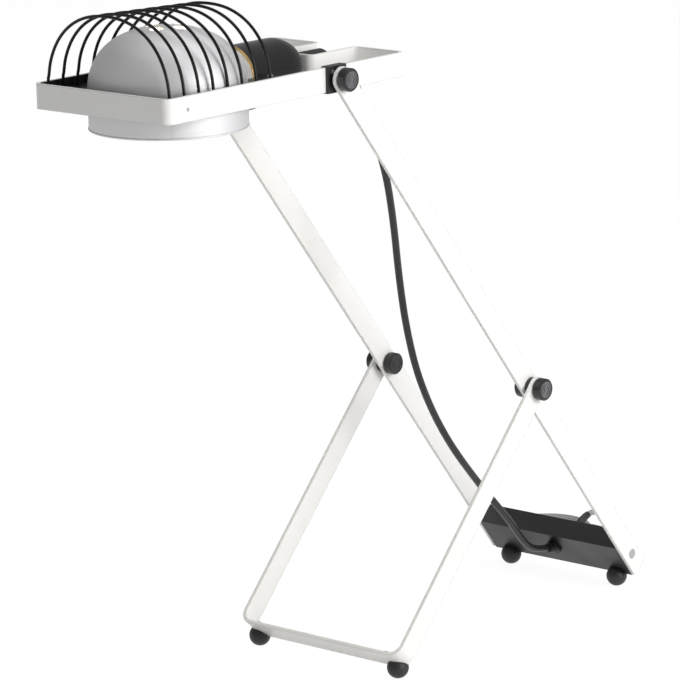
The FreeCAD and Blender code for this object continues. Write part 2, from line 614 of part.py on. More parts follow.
def holder_insert():
    """Ceramic lampholder body with its deep bore."""
    body = rod_y(INSERT_FRONT, INSERT_REAR, NECK_BORE - 0.2, 0, HOLDER_Z)
    return body.cut(rod_y(INSERT_FRONT - 1, INSERT_REAR - 8, SHELL_R + 0.1, 0, HOLDER_Z))


def screw_shell():
    """Threaded brass shell in the ceramic body."""
    tube = rod_y(INSERT_FRONT + 2, INSERT_REAR - 8, SHELL_R, 0, HOLDER_Z)
    return tube.cut(rod_y(INSERT_FRONT + 1, INSERT_REAR - 9, SHELL_R - SHELL_WALL, 0, HOLDER_Z))


BULB_CAP_R = SHELL_R - SHELL_WALL - 0.2
BULB_R = 25.0
BULB_LENGTH = 84.0
BULB_NECK = 18.0
BULB_WALL = 0.9
BULB_START = INSERT_FRONT + 1.0


def bulb_body(inset):
    """Round bulb with a neck, upright, its surface drawn in by inset."""
    radius = BULB_R - inset
    centre = BULB_LENGTH - BULB_R
    tip = V(0, 0, centre + radius)
    start = V(BULB_CAP_R + 0.4 - inset, 0, inset)
    neck_end = V(BULB_CAP_R + 2.0 - inset, 0, BULB_NECK)
    waist = V((neck_end.x + radius) / 2, 0, (BULB_NECK + centre) / 2)
    shoulder = V(radius, 0, centre)
    curve = Part.BSplineCurve()
    curve.interpolate([neck_end, waist, shoulder], InitialTangent=V(0.1, 0, 1), FinalTangent=V(0, 0, 1))
    dome_mid = V(radius * math.sin(0.8), 0, centre + radius * math.cos(0.8))
    foot = V(0, 0, inset)
    edges = [Part.LineSegment(foot, start).toShape(), Part.LineSegment(start, neck_end).toShape(),
             curve.toShape(), Part.Arc(shoulder, dome_mid, tip).toShape(),
             Part.LineSegment(tip, foot).toShape()]
    return Part.Face(Part.Wire(edges)).revolve(V(0, 0, 0), V(0, 0, 1), 360)


def bulb_glass():
    """Thin glass envelope, its axis along the head."""
    glass = bulb_body(0).cut(bulb_body(BULB_WALL))
    glass.rotate(V(0, 0, 0), V(1, 0, 0), 90)
    glass.translate(V(0, BULB_START, HOLDER_Z))
    return glass


def bulb_cap():
    """Metal screw cap and contact of the bulb."""
    cap = rod_y(BULB_START, BULB_START + 24, BULB_CAP_R, 0, HOLDER_Z)
    contact = Part.makeCone(BULB_CAP_R - 4, 4.0, 3.0, V(0, BULB_START + 24, HOLDER_Z), V(0, 1, 0))
    return cap.fuse(contact).removeSplitter()


def holder_saddle():
    """Sheet saddle under the cover, its two ears screwed up to the tray floor."""
    under = TRAY_FLOOR - TRAY_WALL
    y0, y1 = SADDLE_REAR - SADDLE_WIDTH, SADDLE_REAR
    outer = rod_y(y0, y1, COVER_R + SADDLE_THICK, 0, HOLDER_Z)
    band = outer.cut(rod_y(y0 - 1, y1 + 1, COVER_R, 0, HOLDER_Z))
    deep = COVER_R + SADDLE_THICK + 1
    band = band.common(box(-deep, deep, y0, y1, HOLDER_Z - deep, under))
    ears = []
    for side in (1, -1):
        x0, x1 = sorted((side * (COVER_R + SADDLE_THICK / 2), side * (COVER_R + SADDLE_EAR)))
        ears.append(box(x0, x1, y0, y1, under - SADDLE_THICK, under))
    cover = rod_y(y0 - 1, y1 + 1, COVER_R, 0, HOLDER_Z)
    return band.fuse(ears).cut(cover).removeSplitter().cut(saddle_screw_pair())


def flex_boot():
    """Strain relief: a neck through the strip's closed notch end and a rounded tapering body."""
    taper = BOOT_END - BOOT_TAPER
    profile = [(0, CAP_REAR), (BOOT_NECK_R, CAP_REAR), (BOOT_NECK_R, NOTCH_END), (BOOT_R - 0.8, NOTCH_END),
               (BOOT_R, NOTCH_END + 0.8), (BOOT_R, taper), (BOOT_R - 0.7, taper + 1.6),
               (BOOT_TIP_R + 0.5, BOOT_END - 0.9), (BOOT_TIP_R - 0.6, BOOT_END), (0, BOOT_END)]
    corners = [V(r, y, 0) for r, y in profile]
    boot = Part.Face(Part.makePolygon(corners + corners[:1])).revolve(V(0, 0, 0), V(0, 1, 0), 360)
    boot.translate(V(0, 0, HOLDER_Z))
    return boot


def guard_wire(index):
    """One arched wire, a squarish half oval with upright feet on the tray's floor."""
    share = index / (WIRE_COUNT - 1)
    y = WIRE_FIRST + (WIRE_LAST - WIRE_FIRST) * share
    rise = WIRE_TOP_FIRST + (WIRE_TOP_LAST - WIRE_TOP_FIRST) * share - WIRE_SPRING
    # No point lies next to a foot, where the oval is nearly straight anyway.
    turns = [0] + [math.radians(9 + 162 * i / 22) for i in range(23)] + [math.pi]
    points = []
    for turn in turns:
        across = math.copysign(abs(math.cos(turn)) ** (2 / WIRE_SQUARE), math.cos(turn))
        points.append(V(WIRE_HALF * across, y, WIRE_SPRING + rise * math.sin(turn) ** (2 / WIRE_SQUARE)))
    points[0], points[-1] = V(WIRE_HALF, y, TRAY_FLOOR), V(-WIRE_HALF, y, TRAY_FLOOR)
    curve = Part.BSplineCurve()
    curve.interpolate(points, InitialTangent=V(0, 0, 1), FinalTangent=V(0, 0, -1))
    ring = Part.Wire(Part.Circle(points[0], V(0, 0, 1), WIRE_R).toShape())
    return Part.Wire(curve.toShape()).makePipeShell([ring], True, False)


# ---------------------------------------------------------------- flex, mains lead and plug
def cord_tube(name, points, radius):
    """Tube along straight runs joined by the largest tangent arcs that the runs allow."""
    edges = []
    radii = []
    start = points[0]
    length = 0.0
    for before, corner, after in zip(points, points[1:], points[2:]):
        back = before - corner
        ahead = after - corner
        run = 0.45 * min(back.Length, ahead.Length)
        back.normalize()
        ahead.normalize()
        half_turn = (math.pi - back.getAngle(ahead)) / 2
        bend = run / math.tan(half_turn)
        middle = (back + ahead).normalize()
        top = corner + middle * (bend / math.cos(half_turn) - bend)
        edges.append(Part.LineSegment(start, corner + back * run).toShape())
        edges.append(Part.Arc(corner + back * run, top, corner + ahead * run).toShape())
        start = corner + ahead * run
        radii.append(round(bend, 1))
    edges.append(Part.LineSegment(start, points[-1]).toShape())
    length = sum(e.Length for e in edges)
    first = (points[1] - points[0]).normalize()
    ring = Part.Wire(Part.Circle(points[0], first, radius).toShape())
    tube = Part.Wire(edges).makePipeShell([ring], True, False)
    ratio = tube.Volume / (math.pi * radius ** 2 * length)
    print(name, "length", round(length, 1), "radii", radii, "volume ratio", round(ratio, 4))
    return tube


# Routes, chosen by hand in the row frame.
FLEX_ROUTE = [(0, -19.1, 510.56), (0, -7.5, 507.2), (0, 0.9, 499.4), (0, 9.4, 479.5), (0, 25.5, 446.5),
              (0, 43.3, 406), (0, 52.3, 360), (0, 57.6, 314.5), (0, 66.5, 266), (0, 82.5, 217),
              (0, 115.1, 162.3), (0, 161.1, 110.3), (0, 205, 66.5), (0, 225, 41.5), (0, 241, 31.5)]
LEAD_ROUTE = [(7, 302.7, 49.5), (7, 318.1, 51.8), (7, 332.6, 46.1), (7, 342.5, 33.5), (6, 356.5, 20.8),
              (1, 374, 8.8), (-11, 390, 2.65), (-30, 405.5, 2.65), (-56, 414.8, 2.65)]


def flex():
    """Whole lamp flex from the boot to the base, as the part that rides with the head and the rest."""
    turn = math.radians(LONG_LEAN + FLEX_RISE)
    outward = V(0, -math.cos(turn), math.sin(turn)) * GROMMET_NOSE
    end = BAR_FRAME.multVec(V(0, -HALF, GROMMET_Z) + outward)
    start = HEAD_FRAME.multVec(V(0, BOOT_END, HOLDER_Z))
    tube = cord_tube("flex", [start] + [V(*p) for p in FLEX_ROUTE] + [end], FLEX_R)
    print("flex ends", start, end)
    centre = HEAD_FRAME.Base
    near = rod_x(-20, 20, FLEX_SPLIT - 0.15, centre.y, centre.z)
    far = rod_x(-20, 20, FLEX_SPLIT + 0.15, centre.y, centre.z)
    return tube.common(near), tube.cut(far)


LAYER_PITCH = 2 * LEAD_R + TURN_GAP
COIL_LOW = LEAD_R + 0.05
COIL_HIGH = COIL_LOW + LAYER_PITCH
COIL_INNER = COIL_MEAN_R - TURNS_PER_LAYER * LAYER_PITCH / 2
COIL_OUTER = COIL_MEAN_R + TURNS_PER_LAYER * LAYER_PITCH / 2


def coil_point(quarter):
    """Centre line of the coil, a quarter turn at a time, from the middle of the climb: point, tangent."""
    angle = quarter * math.pi / 2 + math.pi / 2 + TURNS_PER_LAYER * 2 * math.pi
    radius = COIL_INNER + LAYER_PITCH * abs(quarter) / 4
    climb = LAYER_PITCH / 2 if quarter == 0 else 0.0
    height = COIL_LOW + LAYER_PITCH * (0.5 if quarter == 0 else quarter > 0)
    point = V(COIL_X + radius * math.cos(angle), COIL_Y + radius * math.sin(angle), height)
    tangent = V(-radius * math.sin(angle), radius * math.cos(angle), climb).normalize()
    return point, tangent


def biarc(p0, t0, p1, t1):
    """Two tangent arcs from p0 to p1 with end directions t0 and t1."""
    chord = p1 - p0
    both = t0 + t1
    a = 2 * (1 - t0.dot(t1))
    b = 2 * chord.dot(both)
    reach = (-b + math.sqrt(b * b + 4 * a * chord.dot(chord))) / (2 * a)
    knot = (p0 + t0 * reach + p1 - t1 * reach) * 0.5
    arcs = []
    for start, direction, end in ((p0, t0, knot), (p1, t1 * -1, knot)):
        span = end - start
        normal = direction.cross(span).cross(direction).normalize()
        radius = span.dot(span) / (2 * span.dot(normal))
        centre = start + normal * radius
        bulge = ((start - centre) + (end - centre)).normalize() * radius
        arcs.append((start, centre + bulge, end))
    first, second = arcs
    return [Part.Arc(*first).toShape(), Part.Arc(second[2], second[1], second[0]).toShape()]


def lead_coil():
    """Put-away length of the mains lead: one unbroken tube, spiralling in below and out above."""
    quarters = int(TURNS_PER_LAYER * 4)
    nodes = [coil_point(q) for q in range(-quarters, quarters + 1)]
    edges = []
    for (p0, t0), (p1, t1) in zip(nodes, nodes[1:]):
        edges += biarc(p0, t0, p1, t1)
    start = nodes[0][0] - nodes[0][1] * (2 * LEAD_R)
    end = nodes[-1][0] + nodes[-1][1] * (2 * LEAD_R)
    edges = [Part.LineSegment(start, nodes[0][0]).toShape()] + edges
    edges.append(Part.LineSegment(nodes[-1][0], end).toShape())
    ring = Part.Wire(Part.Circle(start, nodes[0][1], LEAD_R).toShape())
    tube = Part.Wire(edges).makePipeShell([ring], True, False)
    points = []
    for edge in edges:
        points += edge.discretize(9)[:-1]
    length = sum(e.Length for e in edges)
    closest = 1e9
    for i, one in enumerate(points):
        for other in points[i + 24:]:
            closest = min(closest, one.distanceToPoint(other))
    print("coil length", round(length, 1), "least gap", round(closest - 2 * LEAD_R, 3),
          "volume ratio", round(tube.Volume / (math.pi * LEAD_R ** 2 * length), 4))
    return tube, start, end


def plug(start):
    """Flat two-pin plug with its tapered strain relief. Its cord comes in along +X at start."""
    x0, y, z = start.x, start.y, start.z
    x1 = x0 + PLUG_RELIEF
    x2 = x1 + PLUG_LENGTH
    relief = Part.makeCone(LEAD_R + 0.9, LEAD_R + 2.9, PLUG_RELIEF, start, V(1, 0, 0))
    body = box(x1, x2, y - PLUG_WIDTH / 2, y + PLUG_WIDTH / 2, 0.05, 2 * z - 0.05)
    body = body.makeFillet(3.0, body.Edges)
    pins = []
    for side in (1, -1):
        pin = rod_x(x2 - 3, x2 + PIN_LENGTH, PIN_R, y + side * PIN_SPACING / 2, z)
        pins.append(pin.makeFillet(PIN_R * 0.6, [pin.Edges[0]]))
    body = body.cut(pins[0]).cut(pins[1])
    return body.fuse(relief).removeSplitter(), Part.makeCompound(pins)


# ---------------------------------------------------------------- assembly
def build_stand():
    solid_base = box(-LONG_IN, LONG_IN, -HALF, HALF, BASE_LOW, BASE_TOP)
    for name, side in SIDES:
        keep("long_bar_" + name, mirrored(long_bar(), side), BAR_FRAME)
        foot = ball_foot(REAR_FOOT_Y, REAR_FOOT_Z, side * REAR_FOOT_X, LONG_LEAN)
        keep("rear_foot_" + name, foot.cut(solid_base), BAR_FRAME)
    keep("base_housing", base_housing(), BAR_FRAME)
    keep("base_cover", base_cover(), BAR_FRAME)
    keep("ballast_blocks", ballast(), BAR_FRAME)
    keep("terminal_block", terminal_block(), BAR_FRAME)
    screws = [mirrored(side_screw(), s) for _, s in SIDES] + [cover_screw(s) for _, s in SIDES]
    keep("base_screws", Part.makeCompound(screws), BAR_FRAME)
    keep("flex_grommet", grommet(), BAR_FRAME)
    keep("lead_gland", lead_gland(), BAR_FRAME)
    keep("middle_bolts", both_sides(middle_bolt()), BAR_FRAME)
    keep("inner_caps", both_sides(inner_cap()), BAR_FRAME)


def build_leg():
    leg = leg_frame()
    keep("front_leg", leg, LEG_FRAME)
    keep("foot_screws", Part.makeCompound([foot_screw(s) for _, s in SIDES]), LEG_FRAME)
    for name, side in SIDES:
        foot = ball_foot(FRONT_FOOT_Y, FRONT_FOOT_Z, side * FRONT_FOOT_X, -LEG_LEAN)
        keep("front_foot_" + name, foot.cut(leg), LEG_FRAME)
    keep("leg_spacers", both_sides(leg_spacer()), LEG_FRAME)


def build_head():
    keep("head_frame", head_frame(), HEAD_FRAME)
    keep("tray", tray(), HEAD_FRAME)
    keep("tray_rivets", tray_rivets(), HEAD_FRAME)
    keep("reflector", reflector(), HEAD_FRAME)
    keep("brass_ring", brass_ring(), HEAD_FRAME)
    keep("holder_cover", holder_cover(), HEAD_FRAME)
    keep("holder_cap", holder_cap(), HEAD_FRAME)
    keep("holder_insert", holder_insert(), HEAD_FRAME)
    keep("screw_shell", screw_shell(), HEAD_FRAME)
    keep("bulb_glass", bulb_glass(), HEAD_FRAME)
    keep("bulb_cap", bulb_cap(), HEAD_FRAME)
    keep("holder_saddle", holder_saddle(), HEAD_FRAME)
    keep("saddle_screws", saddle_screw_pair(), HEAD_FRAME)
    keep("flex_boot", flex_boot(), HEAD_FRAME)
    for i in range(WIRE_COUNT):
        keep("guard_wire_%d" % (i + 1), guard_wire(i), HEAD_FRAME)
    keep("clip_screws", both_sides(clip_screw()), HEAD_FRAME)
    keep("head_studs", both_sides(head_stud()), HEAD_FRAME)
    for name, side in SIDES:
        keep("strip_clip_" + name, mirrored(strip_clip(), side), HEAD_FRAME)


def build_knobs():
    for name, side in SIDES:
        for place, x, frame in (("head", LONG_OUT, HEAD_FRAME), ("leg", LEG_OUT, LEG_FRAME)):
            keep("%s_knob_%s" % (place, name), mirrored(knob(x + SIDE_CLEAR), side), frame)
            keep("%s_knob_face_%s" % (place, name), mirrored(knob_face(x + SIDE_CLEAR), side), frame)


def build_cords():
    upper, lower = flex()
    keep("flex_upper", upper, ROW_FRAME)
    keep("flex_lower", lower, ROW_FRAME)
    tube, coil_start, coil_end = lead_coil()
    gland_tip = BAR_FRAME.multVec(V(GLAND_X, HALF + GLAND_TAPER, GLAND_Z))
    route = [gland_tip] + [V(*p) for p in LEAD_ROUTE] + [coil_start]
    print("lead ends", gland_tip, coil_start, coil_end)
    keep("mains_lead", cord_tube("lead", route, LEAD_R), ROW_FRAME)
    keep("lead_coil", tube, ROW_FRAME)
    body, pins = plug(coil_end)
    keep("plug_body", body, ROW_FRAME)
    keep("plug_pins", pins, ROW_FRAME)


build_stand()
build_leg()
build_head()
build_knobs()
build_cords()

for name, shape in made.items():
    if not shape.isValid():
        print("not valid:", name)
    shape.exportStep("parts/" + name + ".step")

print("nodes", len(made))
print("middle pivot", 0.0, round(PIVOT_Y, 3), round(PIVOT_Z, 3))
head_at = HEAD_FRAME.Base
print("head pivot", 0.0, round(head_at.y, 3), round(head_at.z, 3), "leg lean", round(LEG_LEAN, 3))
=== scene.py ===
# %% [markdown]
# # Folding desk lamp
# Two long flat bars lean back from a level head frame to a weighted base, and a U-shaped front leg
# is pivoted at their middle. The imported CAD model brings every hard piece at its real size. This
# lesson gives those pieces their finishes, adds the flex, the lead and its sleeve, and sets the
# light and the camera.

# %% Load the frame
import math
import json
import bpy
import numpy as np
from mathutils import Matrix, Vector


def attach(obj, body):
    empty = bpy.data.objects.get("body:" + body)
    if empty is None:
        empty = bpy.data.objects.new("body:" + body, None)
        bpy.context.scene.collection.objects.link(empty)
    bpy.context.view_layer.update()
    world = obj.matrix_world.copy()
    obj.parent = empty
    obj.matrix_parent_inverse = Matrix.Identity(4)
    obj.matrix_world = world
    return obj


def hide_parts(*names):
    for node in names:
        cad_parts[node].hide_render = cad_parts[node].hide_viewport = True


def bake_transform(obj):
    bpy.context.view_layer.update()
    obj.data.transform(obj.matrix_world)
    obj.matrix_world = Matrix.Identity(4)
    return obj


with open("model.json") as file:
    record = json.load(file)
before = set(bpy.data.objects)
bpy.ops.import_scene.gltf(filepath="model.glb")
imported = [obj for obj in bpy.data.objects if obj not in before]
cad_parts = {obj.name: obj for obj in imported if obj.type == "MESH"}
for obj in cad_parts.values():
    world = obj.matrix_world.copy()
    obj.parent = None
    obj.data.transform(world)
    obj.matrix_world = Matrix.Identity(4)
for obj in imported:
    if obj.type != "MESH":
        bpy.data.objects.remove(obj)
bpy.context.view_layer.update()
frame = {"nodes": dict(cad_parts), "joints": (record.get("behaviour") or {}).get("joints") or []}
nodes = frame["nodes"]
joint_at = {j["name"]: np.array(j["pos_m"]) for j in frame["joints"]}
HEAD_PIVOT = joint_at["head_tilt"]
LEG_PIVOT = joint_at["leg_swing"]
MM = 0.001
print("head pivot", HEAD_PIVOT, "leg pivot", LEG_PIVOT, "nodes", len(nodes))

# %% [markdown]
# ## Camera
# The photograph was taken with a long lens, a little above the lamp's middle, from its front right.
# The camera is rolled by about one degree. Its place is given from the middle pivot, so that it
# stays right if the lamp's origin moves.

# %% Camera
AZIMUTH = math.radians(40.839)
ELEVATION = math.radians(12.931)
ROLL = math.radians(-1.222)
FOCAL_PIXELS = 4048.1
PICTURE_PIXELS = 680
SENSOR = 36.0
CAMERA_FROM_PIVOT = Vector((2.148475, -2.640393, 0.814103))


def camera_turn(azimuth, elevation, roll):
    """Rotation whose columns are the picture's right and up and the way back to the camera."""
    right = Vector((math.cos(azimuth), math.sin(azimuth), 0))
    back = Vector((math.sin(azimuth) * math.cos(elevation), -math.cos(azimuth) * math.cos(elevation),
                   math.sin(elevation)))
    up = back.cross(right)
    level = Matrix((right, up, back)).transposed()
    return level @ Matrix.Rotation(roll, 3, "Z")


camera = bpy.data.objects.new("camera", bpy.data.cameras.new("camera"))
bpy.context.scene.collection.objects.link(camera)
camera.data.sensor_width = SENSOR
camera.data.lens = FOCAL_PIXELS / PICTURE_PIXELS * SENSOR
camera.data.clip_end = 50
camera.matrix_world = Matrix.Translation(Vector(LEG_PIVOT) + CAMERA_FROM_PIVOT) @ camera_turn(
    AZIMUTH, ELEVATION, ROLL).to_4x4()
bpy.context.scene.camera = camera
print("lens", round(camera.data.lens, 1), "mm")

# %% [markdown]
# ## Helpers for surfaces
# Most added pieces are a closed profile carried along a path. A grid of points is worked out at
# once with numpy and closed with a cap at each end.


# %% Mesh helpers
def add_mesh(name, points, faces, smooth=True):
    """A mesh object from an array of points and a list of faces."""
    mesh = bpy.data.meshes.new(name)
    mesh.from_pydata(points.reshape(-1, 3).tolist(), [], faces)
    mesh.update()
    obj = bpy.data.objects.new(name, mesh)
    bpy.context.scene.collection.objects.link(obj)
    if smooth:
        mesh.shade_smooth()
    return obj


def grid_faces(rows, columns):
    """Quads of a grid that is closed along its columns, and one cap at each end."""
    r, c = np.meshgrid(np.arange(rows - 1), np.arange(columns), indexing="ij")
    after = (c + 1) % columns
    quads = np.stack([r * columns + c, r * columns + after, (r + 1) * columns + after,
                      (r + 1) * columns + c], -1).reshape(-1, 4)
    last = (rows - 1) * columns
    caps = [list(range(columns))[::-1], list(range(last, last + columns))]
    return quads.tolist() + caps


def frames_along(path):
    """Tangent, normal and side vectors along a path, turned as little as possible from ring to ring."""
    tangent = np.gradient(path, axis=0)
    tangent /= np.linalg.norm(tangent, axis=1)[:, None]
    start = np.cross(tangent[0], [1.0, 0, 0])
    if np.linalg.norm(start) < 0.3:
        start = np.cross(tangent[0], [0, 0, 1.0])
    normal = np.zeros_like(path)
    normal[0] = start / np.linalg.norm(start)
    for i in range(1, len(path)):
        step = normal[i - 1] - tangent[i] * (normal[i - 1] @ tangent[i])
        normal[i] = step / np.linalg.norm(step)
    return tangent, normal, np.cross(tangent, normal)


def tube_mesh(name, path, radius, sides=20):
    """Rings of the given radius (one value or one per point) across a path, with flat ends."""
    path = np.asarray(path)
    _, normal, side = frames_along(path)
    angle = np.linspace(0, 2 * math.pi, sides, endpoint=False)
    ring = np.cos(angle)[None, :, None] * normal[:, None] + np.sin(angle)[None, :, None] * side[:, None]
    size = np.broadcast_to(np.asarray(radius, float), (len(path),))[:, None, None]
    return add_mesh(name, path[:, None] + ring * size, grid_faces(len(path), sides))


def spline_curve(name, route, diameter, resolution):
    """A NURBS curve through the middle of a cord, its control points given in metres."""
    curve = bpy.data.curves.new(name, "CURVE")
    curve.dimensions = "3D"
    spline = curve.splines.new("NURBS")
    spline.points.add(len(route) - 1)
    spline.points.foreach_set("co", np.c_[route, np.ones(len(route))].ravel())
    spline.order_u = 3
    spline.use_endpoint_u = True
    spline.resolution_u = resolution
    curve.resolution_u = resolution
    obj = bpy.data.objects.new(name, curve)
    bpy.context.scene.collection.objects.link(obj)
    curve.bevel_depth = diameter / 2
    return obj


def spline_points(curve_object):
    """The points of a curve's own line, read back from Blender without its thickness."""
    data = curve_object.data
    depth = data.bevel_depth
    data.bevel_depth = 0
    bpy.context.view_layer.update()
    mesh = bpy.data.meshes.new_from_object(curve_object)
    points = np.zeros(len(mesh.vertices) * 3)
    mesh.vertices.foreach_get("co", points)
    bpy.data.meshes.remove(mesh)
    data.bevel_depth = depth
    return points.reshape(-1, 3)


# %% [markdown]
# ## Lamp flex
# A round black flex leaves the boot behind the lampholder, hangs behind the long bars and comes
# down to the base. On the lamp its top turns with the head and its bottom stays on the stand; here it
# is one tube along that route.

# %% Lamp flex
FLEX_DIAMETER = 6.2 * MM
BOOT_END = 71.0
HOLDER_Z = -0.7
flex_start = HEAD_PIVOT + np.array([0, BOOT_END, HOLDER_Z]) * MM
FLEX_ROUTE = np.array([
    (0, -19.1, 510.56), (0, -7.5, 507.2), (0, 0.9, 499.4), (0, 9.4, 479.5), (0, 25.5, 446.5),
    (0, 43.3, 406), (0, 52.3, 360), (0, 57.6, 314.5), (0, 66.5, 266), (0, 82.5, 217),
    (0, 115.1, 162.3), (0, 161.1, 110.3), (0, 205, 66.5), (0, 225, 41.5), (0, 241, 31.5),
    (0, 259.601, 29.5)]) * MM
flex_line = spline_curve("flex_line", np.vstack([flex_start, FLEX_ROUTE]), FLEX_DIAMETER, 8)
flex_path = spline_points(flex_line)
bpy.data.objects.remove(flex_line)
flex = tube_mesh("flex", flex_path, FLEX_DIAMETER / 2, 24)
flex_length = np.linalg.norm(np.diff(flex_path, axis=0), axis=1).sum()
print("flex", len(flex_path), "points", round(flex_length, 4), "m")

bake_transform(flex)
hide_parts("flex_upper", "flex_lower")

# %% [markdown]
# ## Mains lead
# The grey lead comes out of the base's rear, loops over and down to the table, and the length that
# the photograph doesn't show lies behind the base in a neat coil with its plug. The coil's turns
# spiral in on the table and out again on top, as in the CAD model.

# %% Mains lead
LEAD_DIAMETER = 5.2 * MM
LAYER_PITCH = LEAD_DIAMETER + 0.45 * MM
TURNS_PER_LAYER = 3.75
COIL_MEAN_R = 31.2 * MM
COIL_CENTRE = np.array([-88.0, 373.0]) * MM
COIL_LOW = 2.65 * MM
POINTS_PER_TURN = 16
LEAD_ROUTE = np.array([
    (7, 290.155, 39.94), (7, 302.7, 49.5), (7, 318.1, 51.8), (7, 332.6, 46.1), (7, 342.5, 33.5),
    (6, 356.5, 20.8), (1, 374, 8.8), (-11, 390, 2.65), (-30, 405.5, 2.65), (-56, 414.8, 2.65)]) * MM


def coil_turns():
    """Spiral at a steady rate: radius grows with the turns counted from the middle of the climb."""
    span = TURNS_PER_LAYER * 2 * math.pi
    count = int(2 * TURNS_PER_LAYER * POINTS_PER_TURN) + 1
    turn = np.linspace(-span, span, count)
    inner = COIL_MEAN_R - TURNS_PER_LAYER * LAYER_PITCH / 2
    radius = inner + LAYER_PITCH * np.abs(turn) / (2 * math.pi)
    # A control polygon lies a little outside its curve, so its radius is raised a little.
    radius = radius / math.cos(math.pi / POINTS_PER_TURN) ** 0.5
    climb = np.clip(turn / math.pi + 0.5, 0, 1)
    height = COIL_LOW + LAYER_PITCH * (0.5 - 0.5 * np.cos(math.pi * climb))
    angle = turn + math.pi / 2 + span
    x = COIL_CENTRE[0] + radius * np.cos(angle)
    y = COIL_CENTRE[1] + radius * np.sin(angle)
    return np.c_[x, y, height]


turns = coil_turns()
coil_start = turns[0] + np.array([LEAD_DIAMETER, 0, 0])
coil_end = turns[-1] + np.array([LEAD_DIAMETER, 0, 0])
lead_control = np.vstack([LEAD_ROUTE, coil_start, turns, coil_end])
lead_line = spline_curve("lead_line", lead_control, LEAD_DIAMETER, 4)
lead_path = spline_points(lead_line)
bpy.data.objects.remove(lead_line)
lead = tube_mesh("mains_lead_run", lead_path, LEAD_DIAMETER / 2, 16)
lead_length = np.linalg.norm(np.diff(lead_path, axis=0), axis=1).sum()
print("lead", len(lead_path), "points", round(lead_length, 4), "m")
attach(lead, "stand")
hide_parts("mains_lead", "lead_coil")

# %% [markdown]
# The lead's first stretch is held by a short tapering rubber sleeve, so that it can't bend sharply
# where it leaves the base. The sleeve follows the lead's own line.

# %% Sleeve round the lead
SLEEVE_LENGTH = 22 * MM
SLEEVE_BASE_RADIUS = 4.2 * MM
SLEEVE_TAPER = 1.1 * MM
along = np.r_[0, np.cumsum(np.linalg.norm(np.diff(lead_path, axis=0), axis=1))]
sleeve_share = np.linspace(0, 1, 14)
sleeve_path = np.stack(
    [np.interp(sleeve_share * SLEEVE_LENGTH, along, lead_path[:, k]) for k in range(3)], 1)
sleeve = tube_mesh("lead_sleeve", sleeve_path, SLEEVE_BASE_RADIUS - SLEEVE_TAPER * sleeve_share, 24)
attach(sleeve, "stand")
print("sleeve rings", len(sleeve_path))

# %% [markdown]
# ## Shading of the CAD pieces
# The CAD meshes are loose triangles. Each is welded and shaded smooth, and its real edges are kept
# by a split at the sharper angles. The thin round that paint leaves on an edge is in the finishes.

# %% Weld and shade
WELD_DISTANCE = 2e-6
SHARP_ANGLE = math.radians(35)
for obj in nodes.values():
    obj.data.shade_smooth()
    weld = obj.modifiers.new("weld", "WELD")
    weld.merge_threshold = WELD_DISTANCE
    parts = obj.modifiers.new("sharp", "EDGE_SPLIT")
    parts.split_angle = SHARP_ANGLE
print("welded", len(nodes), "pieces")

# %% [markdown]
# ## Finishes
# Every finish is worked out from Object coordinates, which are metres on the real lamp, so grain
# keeps its true size. Two effects are shared by most of them: a fine relief, and slow patches that
# vary how dull the surface is.


# %% Shared node groups
def new_group(name, inputs, outputs):
    """An empty node group with the given inputs (name, type, value) and outputs (name, type)."""
    group = bpy.data.node_groups.new(name, "ShaderNodeTree")
    for socket, kind, value in inputs:
        made = group.interface.new_socket(name=socket, in_out="INPUT", socket_type="NodeSocket" + kind)
        if value is not None:
            made.default_value = value
    for socket, kind in outputs:
        group.interface.new_socket(name=socket, in_out="OUTPUT", socket_type="NodeSocket" + kind)
    return group, group.nodes.new("NodeGroupInput"), group.nodes.new("NodeGroupOutput")


def math_node(tree, operation, first, second):
    """One Math node; first and second are sockets or numbers."""
    node = tree.nodes.new("ShaderNodeMath")
    node.operation = operation
    for slot, value in enumerate((first, second)):
        if hasattr(value, "is_linked"):
            tree.links.new(value, node.inputs[slot])
        else:
            node.inputs[slot].default_value = value
    return node.outputs[0]


def fine_relief():
    """Coat texture: two sizes of noise on Object coordinates over a normal that rounds sharp edges."""
    group, inside, outside = new_group(
        "fine_relief", [("Size mm", "Float", 1.0), ("Depth", "Float", 0.1), ("Edge mm", "Float", 0.3)],
        [("Normal", "Vector")])
    edge = group.nodes.new("ShaderNodeBevel")
    edge.samples = 6
    group.links.new(math_node(group, "MULTIPLY", inside.outputs["Edge mm"], MM), edge.inputs["Radius"])
    place = group.nodes.new("ShaderNodeTexCoord")
    coarse = group.nodes.new("ShaderNodeTexNoise")
    fine = group.nodes.new("ShaderNodeTexNoise")
    per_metre = math_node(group, "DIVIDE", 1000.0, inside.outputs["Size mm"])
    group.links.new(per_metre, coarse.inputs["Scale"])
    group.links.new(math_node(group, "MULTIPLY", per_metre, 3.1), fine.inputs["Scale"])
    for noise in (coarse, fine):
        noise.inputs["Detail"].default_value = 1.5
        group.links.new(place.outputs["Object"], noise.inputs["Vector"])
    height = math_node(group, "ADD", coarse.outputs[0], math_node(group, "MULTIPLY", fine.outputs[0], 0.4))
    bump = group.nodes.new("ShaderNodeBump")
    bump.inputs["Distance"].default_value = 0.0002
    group.links.new(inside.outputs["Depth"], bump.inputs["Strength"])
    group.links.new(height, bump.inputs["Height"])
    group.links.new(edge.outputs[0], bump.inputs["Normal"])
    group.links.new(bump.outputs[0], outside.inputs["Normal"])
    return group


